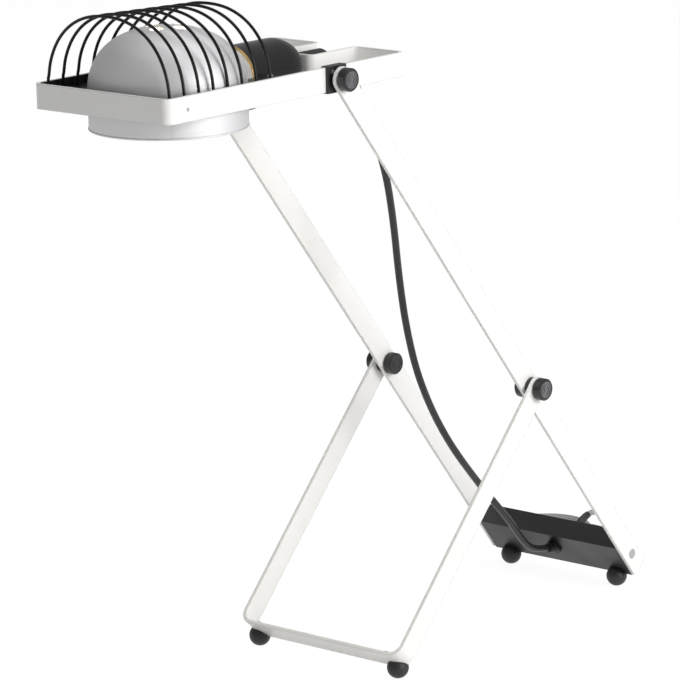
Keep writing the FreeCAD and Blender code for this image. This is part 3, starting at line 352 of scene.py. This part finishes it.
def slow_patches():
    """Handling and dust: broad noise between two roughness values and two shades of one colour."""
    group, inside, outside = new_group(
        "slow_patches",
        [("Colour", "Color", None), ("Shade", "Float", 0.95), ("Smooth", "Float", 0.3),
         ("Dull", "Float", 0.45), ("Size mm", "Float", 40.0)],
        [("Colour", "Color"), ("Roughness", "Float")])
    place = group.nodes.new("ShaderNodeTexCoord")
    noise = group.nodes.new("ShaderNodeTexNoise")
    noise.inputs["Detail"].default_value = 5.0
    group.links.new(place.outputs["Object"], noise.inputs["Vector"])
    group.links.new(math_node(group, "DIVIDE", 1000.0, inside.outputs["Size mm"]), noise.inputs["Scale"])
    spread = group.nodes.new("ShaderNodeMapRange")
    spread.inputs["From Min"].default_value = 0.35
    spread.inputs["From Max"].default_value = 0.65
    group.links.new(noise.outputs[0], spread.inputs["Value"])
    level = group.nodes.new("ShaderNodeMapRange")
    group.links.new(spread.outputs[0], level.inputs["Value"])
    group.links.new(inside.outputs["Smooth"], level.inputs["To Min"])
    group.links.new(inside.outputs["Dull"], level.inputs["To Max"])
    group.links.new(level.outputs[0], outside.inputs["Roughness"])
    dark = group.nodes.new("ShaderNodeMix")
    dark.data_type = "RGBA"
    dark.blend_type = "MULTIPLY"
    dark.inputs[0].default_value = 1.0
    group.links.new(inside.outputs["Colour"], dark.inputs[6])
    group.links.new(inside.outputs["Shade"], dark.inputs[7])
    mix = group.nodes.new("ShaderNodeMix")
    mix.data_type = "RGBA"
    group.links.new(spread.outputs[0], mix.inputs[0])
    group.links.new(inside.outputs["Colour"], mix.inputs[6])
    group.links.new(dark.outputs[2], mix.inputs[7])
    group.links.new(mix.outputs[2], outside.inputs["Colour"])
    return group


RELIEF = fine_relief()
PATCHES = slow_patches()
print("shared groups", RELIEF.name, PATCHES.name)

# %% [markdown]
# A finish joins both effects in one Principled shader. Only its numbers differ from piece to piece.


# %% Finish builder
def place_group(tree, group, **values):
    """A node that uses a shared group, with its inputs set by name."""
    node = tree.nodes.new("ShaderNodeGroup")
    node.node_tree = group
    for socket, value in values.items():
        node.inputs[socket.replace("_", " ")].default_value = value
    return node


def finish(name, colour, smooth, dull, metal=0.0, shade=0.93, grain=1.0, depth=0.08, specular=0.5,
           edge=0.3):
    """A Principled finish of one colour with slow patches, a fine relief and edges rounded by edge mm."""
    material = bpy.data.materials.new(name)
    material.use_nodes = True
    tree = material.node_tree
    shader = tree.nodes["Principled BSDF"]
    patches = place_group(tree, PATCHES, Colour=(*colour, 1), Shade=shade, Smooth=smooth, Dull=dull)
    relief = place_group(tree, RELIEF, Size_mm=grain, Depth=depth, Edge_mm=edge)
    tree.links.new(patches.outputs["Colour"], shader.inputs["Base Color"])
    tree.links.new(patches.outputs["Roughness"], shader.inputs["Roughness"])
    tree.links.new(relief.outputs["Normal"], shader.inputs["Normal"])
    shader.inputs["Metallic"].default_value = metal
    shader.inputs["Specular IOR Level"].default_value = specular
    return material


def dress(material, *names):
    """Puts a finish on CAD nodes by name, or on new pieces."""
    for item in names:
        obj = nodes[item] if isinstance(item, str) else item
        if len(obj.material_slots) == 0:
            obj.data.materials.append(material)
        for slot in obj.material_slots:
            slot.material = material


# %% [markdown]
# The bars and the head strip are cream enamel. The base, tray and clips are black enamel, the
# lampholder's cover is a glossy moulding, and the feet are rubber.

# %% Painted, moulded and rubber pieces
cream = finish("cream_enamel", (0.90, 0.893, 0.87), 0.30, 0.40, shade=0.975, grain=1.4, depth=0.02,
               edge=1.6)
black_enamel = finish("black_enamel", (0.012, 0.012, 0.013), 0.28, 0.42, shade=0.7, grain=0.7, depth=0.10)
wire_black = finish("wire_lacquer", (0.006, 0.005, 0.005), 0.30, 0.42, shade=0.7, grain=0.8, depth=0.05,
                    specular=0.3)
black_gloss = finish("black_moulding", (0.012, 0.012, 0.013), 0.10, 0.17, shade=0.8, grain=2.5, depth=0.02)
knob_black = finish("knob_moulding", (0.016, 0.016, 0.017), 0.28, 0.38, shade=0.8, grain=0.6, depth=0.06)
rubber = finish("ball_rubber", (0.018, 0.018, 0.019), 0.42, 0.60, shade=0.7, grain=0.5, depth=0.15)
flex_sheath = finish("flex_sheath", (0.020, 0.020, 0.021), 0.30, 0.44, shade=0.8, grain=1.2, depth=0.06)
lead_sheath = finish("lead_sheath", (0.33, 0.33, 0.33), 0.35, 0.50, shade=0.9, grain=1.2, depth=0.06)
plug_grey = finish("plug_moulding", (0.30, 0.30, 0.30), 0.30, 0.42, shade=0.9, grain=0.6, depth=0.08)
porcelain = finish("porcelain", (0.80, 0.78, 0.73), 0.25, 0.35, shade=0.96, grain=2.0, depth=0.03)
natural = finish("natural_plastic", (0.72, 0.71, 0.66), 0.35, 0.45)
iron = finish("cast_iron", (0.10, 0.10, 0.10), 0.55, 0.75, metal=0.6, grain=1.6, depth=0.5)
steel = finish("plated_steel", (0.55, 0.55, 0.56), 0.25, 0.40, metal=1.0, shade=0.85, grain=0.5, depth=0.06)
brass = finish("brass", (0.80, 0.55, 0.22), 0.18, 0.30, metal=1.0, shade=0.85, grain=0.8, depth=0.04)
dress(cream, "long_bar_right", "long_bar_left", "front_leg", "head_frame")
dress(black_enamel, "base_housing", "base_cover", "tray", "strip_clip_right", "strip_clip_left",
      "holder_saddle")
dress(wire_black, *["guard_wire_%d" % (i + 1) for i in range(8)])
dress(black_gloss, "holder_cover", "holder_cap")
dress(knob_black, "leg_spacers", "inner_caps", "head_knob_right", "head_knob_left", "leg_knob_right",
      "leg_knob_left")
dress(rubber, "rear_foot_right", "rear_foot_left", "front_foot_right", "front_foot_left", "flex_grommet",
      "lead_gland", "flex_boot", sleeve)
dress(flex_sheath, "flex_upper", "flex_lower", flex)
dress(lead_sheath, "mains_lead", "lead_coil", lead)
dress(plug_grey, "plug_body")
dress(porcelain, "holder_insert")
dress(natural, "terminal_block")
dress(iron, "ballast_blocks")
dress(steel, "base_screws", "foot_screws", "clip_screws", "saddle_screws", "middle_bolts", "head_studs",
      "tray_rivets", "bulb_cap")
dress(brass, "screw_shell", "plug_pins")
print("finishes", len(bpy.data.materials))

# %% [markdown]
# ## Turned and spun metal
# The reflector is spun from sheet and finely brushed round its axis, and the knob faces are turned.
# Both show rings about one axis: the distance from that axis and the height along it drive fine
# streaks, and the streaks drive colour, dullness and relief.


# %% Ringed metal
def ringed_metal(name, colour, centre, axis, rings_per_mm, smooth, dull, depth):
    """Brushed metal whose streaks run round an axis through a centre, given in metres."""
    material = bpy.data.materials.new(name)
    material.use_nodes = True
    tree = material.node_tree
    shader = tree.nodes["Principled BSDF"]
    place = tree.nodes.new("ShaderNodeTexCoord")
    middle = tree.nodes.new("ShaderNodeMapping")
    middle.inputs["Location"].default_value = [-c for c in centre]
    tree.links.new(place.outputs["Object"], middle.inputs["Vector"])
    parts = tree.nodes.new("ShaderNodeSeparateXYZ")
    tree.links.new(middle.outputs[0], parts.inputs[0])
    across = [parts.outputs[i] for i in range(3) if i != axis]
    squared = math_node(tree, "ADD", math_node(tree, "MULTIPLY", across[0], across[0]),
                        math_node(tree, "MULTIPLY", across[1], across[1]))
    distance = math_node(tree, "SQRT", squared, 0.0)
    turn = math_node(tree, "ARCTAN2", across[0], across[1])
    streak_place = tree.nodes.new("ShaderNodeCombineXYZ")
    tree.links.new(math_node(tree, "MULTIPLY", distance, rings_per_mm * 1000), streak_place.inputs[0])
    rings = math_node(tree, "MULTIPLY", parts.outputs[axis], rings_per_mm * 1000)
    tree.links.new(rings, streak_place.inputs[1])
    tree.links.new(math_node(tree, "MULTIPLY", turn, 1.2), streak_place.inputs[2])
    streaks = tree.nodes.new("ShaderNodeTexNoise")
    streaks.inputs["Scale"].default_value = 1.0
    streaks.inputs["Detail"].default_value = 3.0
    tree.links.new(streak_place.outputs[0], streaks.inputs["Vector"])
    level = tree.nodes.new("ShaderNodeMapRange")
    level.inputs["From Min"].default_value = 0.3
    level.inputs["From Max"].default_value = 0.7
    level.inputs["To Min"].default_value = smooth
    level.inputs["To Max"].default_value = dull
    tree.links.new(streaks.outputs[0], level.inputs["Value"])
    tree.links.new(level.outputs[0], shader.inputs["Roughness"])
    tint = tree.nodes.new("ShaderNodeMix")
    tint.data_type = "RGBA"
    tint.inputs[6].default_value = (*[c * 0.92 for c in colour], 1)
    tint.inputs[7].default_value = (*colour, 1)
    tree.links.new(streaks.outputs[0], tint.inputs[0])
    tree.links.new(tint.outputs[2], shader.inputs["Base Color"])
    bump = tree.nodes.new("ShaderNodeBump")
    bump.inputs["Strength"].default_value = depth
    bump.inputs["Distance"].default_value = 0.0001
    tree.links.new(streaks.outputs[0], bump.inputs["Height"])
    tree.links.new(bump.outputs[0], shader.inputs["Normal"])
    shader.inputs["Metallic"].default_value = 1.0
    return material


REFLECTOR_Y = -118.4
reflector_centre = HEAD_PIVOT + np.array([0, REFLECTOR_Y, 0]) * MM
spun_metal = ringed_metal("spun_aluminium", (0.80, 0.80, 0.81), reflector_centre, 2, 1.6, 0.60, 0.74,
                          0.15)
dress(spun_metal, "reflector")
for pivot, group in ((HEAD_PIVOT, "head"), (LEG_PIVOT, "leg")):
    turned = ringed_metal(group + "_turned_face", (0.20, 0.20, 0.21), pivot, 0, 2.2, 0.22, 0.36, 0.3)
    dress(turned, group + "_knob_face_right", group + "_knob_face_left")

# %% [markdown]
# Only the rim of the ring in front of the lampholder is bare brass. Its front face, inside that rim,
# is a painted glow: a pale colour that stands in for the bulb's warm light leaking through the gap
# between the reflector and the lampholder. It is told apart by the distance from the lampholder's axis.

# %% Brass ring with a painted glow on its front
RIM_INSIDE = 25.6 * MM
ring_brass_and_painted_glow = finish("ring_brass_and_painted_glow", (0.80, 0.55, 0.22), 0.18, 0.30, metal=1.0, shade=0.85, grain=0.8,
                    depth=0.04)
ring_tree = ring_brass_and_painted_glow.node_tree
ring_shader = ring_tree.nodes["Principled BSDF"]
ring_place = ring_tree.nodes.new("ShaderNodeTexCoord")
ring_middle = ring_tree.nodes.new("ShaderNodeMapping")
ring_middle.inputs["Location"].default_value = tuple(-(HEAD_PIVOT + np.array([0, 0, HOLDER_Z]) * MM))
ring_parts = ring_tree.nodes.new("ShaderNodeSeparateXYZ")
ring_tree.links.new(ring_place.outputs["Object"], ring_middle.inputs["Vector"])
ring_tree.links.new(ring_middle.outputs[0], ring_parts.inputs[0])
squares = [math_node(ring_tree, "MULTIPLY", ring_parts.outputs[i], ring_parts.outputs[i]) for i in (0, 2)]
from_axis = math_node(ring_tree, "SQRT", math_node(ring_tree, "ADD", *squares), 0.0)
bare = math_node(ring_tree, "GREATER_THAN", from_axis, RIM_INSIDE)
painted_glow_mix = ring_tree.nodes.new("ShaderNodeMix")
painted_glow_mix.data_type = "RGBA"
# Painted glow: this pale, non-metallic colour stands in for the bulb's light on the ring's front face.
painted_glow_mix.inputs[6].default_value = (0.88, 0.87, 0.83, 1)
ring_tree.links.new(bare, painted_glow_mix.inputs[0])
ring_tree.links.new(ring_shader.inputs["Base Color"].links[0].from_socket, painted_glow_mix.inputs[7])
ring_tree.links.new(painted_glow_mix.outputs[2], ring_shader.inputs["Base Color"])
ring_tree.links.new(bare, ring_shader.inputs["Metallic"])
dress(ring_brass_and_painted_glow, "brass_ring")
print("bare brass beyond", round(RIM_INSIDE / MM, 1), "mm from the axis")

# %% [markdown]
# ## Bulb
# The bulb is frosted and lit: its warm glow shows through the vents on top of the reflector.

# %% Lit bulb
glow = bpy.data.materials.new("frosted_glow")
glow.use_nodes = True
glow_shader = glow.node_tree.nodes["Principled BSDF"]
glow_noise = glow.node_tree.nodes.new("ShaderNodeTexNoise")
glow_noise.inputs["Scale"].default_value = 60.0
glow_place = glow.node_tree.nodes.new("ShaderNodeTexCoord")
glow_tint = glow.node_tree.nodes.new("ShaderNodeMix")
glow_tint.data_type = "RGBA"
glow_tint.inputs[6].default_value = (1.0, 0.78, 0.50, 1)
glow_tint.inputs[7].default_value = (1.0, 0.86, 0.64, 1)
glow.node_tree.links.new(glow_place.outputs["Object"], glow_noise.inputs["Vector"])
glow.node_tree.links.new(glow_noise.outputs[0], glow_tint.inputs[0])
glow.node_tree.links.new(glow_tint.outputs[2], glow_shader.inputs["Emission Color"])
glow_shader.inputs["Base Color"].default_value = (0.9, 0.88, 0.82, 1)
glow_shader.inputs["Roughness"].default_value = 0.45
glow_shader.inputs["Emission Strength"].default_value = 8.0
dress(glow, "bulb_glass")
print("bulb glow", glow_shader.inputs["Emission Strength"].default_value)

# %% [markdown]
# ## Room
# A pale floor and a white surround. The key light is a large soft box on the lamp's right, so the
# sides of the bars are near white and their front edges fall to a light grey.

# %% Floor, world and lights
HALF = 6
floor_corners = np.array([(-HALF, -HALF, 0), (HALF, -HALF, 0), (HALF, HALF, 0), (-HALF, HALF, 0)], float)
floor = add_mesh("floor", floor_corners, [[0, 1, 2, 3]], False)
floor_paint = bpy.data.materials.new("floor_paint")
floor_paint.use_nodes = True
floor_shader = floor_paint.node_tree.nodes["Principled BSDF"]
floor_shader.inputs["Base Color"].default_value = (0.86, 0.86, 0.86, 1)
floor_shader.inputs["Roughness"].default_value = 0.9
floor_output = floor_paint.node_tree.nodes["Material Output"]
white = floor_paint.node_tree.nodes.new("ShaderNodeEmission")
FLOOR_WHITE = 1.10
white.inputs["Strength"].default_value = FLOOR_WHITE
blend_white = floor_paint.node_tree.nodes.new("ShaderNodeMixShader")
rays = floor_paint.node_tree.nodes.new("ShaderNodeLightPath")
seen, mirrored = rays.outputs["Is Camera Ray"], rays.outputs["Is Glossy Ray"]
shown = math_node(floor_paint.node_tree, "MAXIMUM", seen, mirrored)
shown = math_node(floor_paint.node_tree, "MAXIMUM", shown, rays.outputs["Is Transmission Ray"])
FLOOR_WHITE_SHARE = 0.85
floor_paint.node_tree.links.new(math_node(floor_paint.node_tree, "MULTIPLY", shown, FLOOR_WHITE_SHARE),
                                blend_white.inputs[0])
floor_paint.node_tree.links.new(floor_shader.outputs[0], blend_white.inputs[1])
floor_paint.node_tree.links.new(white.outputs[0], blend_white.inputs[2])
floor_paint.node_tree.links.new(blend_white.outputs[0], floor_output.inputs["Surface"])
dress(floor_paint, floor)

world = bpy.data.worlds.new("studio")
bpy.context.scene.world = world
world.use_nodes = True
tree = world.node_tree
backdrop = tree.nodes["Background"]
surround = tree.nodes.new("ShaderNodeBackground")
surround.inputs["Color"].default_value = (1, 1, 1, 1)
surround.inputs["Strength"].default_value = 0.38
backdrop.inputs["Color"].default_value = (1, 1, 1, 1)
backdrop.inputs["Strength"].default_value = 1.0
world_mix = tree.nodes.new("ShaderNodeMixShader")
world_rays = tree.nodes.new("ShaderNodeLightPath")
tree.links.new(world_rays.outputs["Is Camera Ray"], world_mix.inputs[0])
tree.links.new(surround.outputs[0], world_mix.inputs[1])
tree.links.new(backdrop.outputs[0], world_mix.inputs[2])
tree.links.new(world_mix.outputs[0], tree.nodes["World Output"].inputs["Surface"])


def soft_box(name, place, aim, width, height, watts):
    """A rectangular area light at place that faces aim, in metres."""
    light = bpy.data.lights.new(name, "AREA")
    light.shape = "RECTANGLE"
    light.size = width
    light.size_y = height
    light.energy = watts
    obj = bpy.data.objects.new(name, light)
    bpy.context.scene.collection.objects.link(obj)
    obj.location = place
    obj.rotation_euler = (Vector(aim) - Vector(place)).to_track_quat("-Z", "Y").to_euler()
    return obj


middle = (0.0, 0.0, 0.3)
soft_box("key", (3.0, 0.3, 1.2), middle, 1.6, 1.6, 64)
soft_box("top", (0.2, 0.4, 2.6), middle, 1.6, 1.6, 18)
bpy.context.scene.view_settings.view_transform = "Standard"
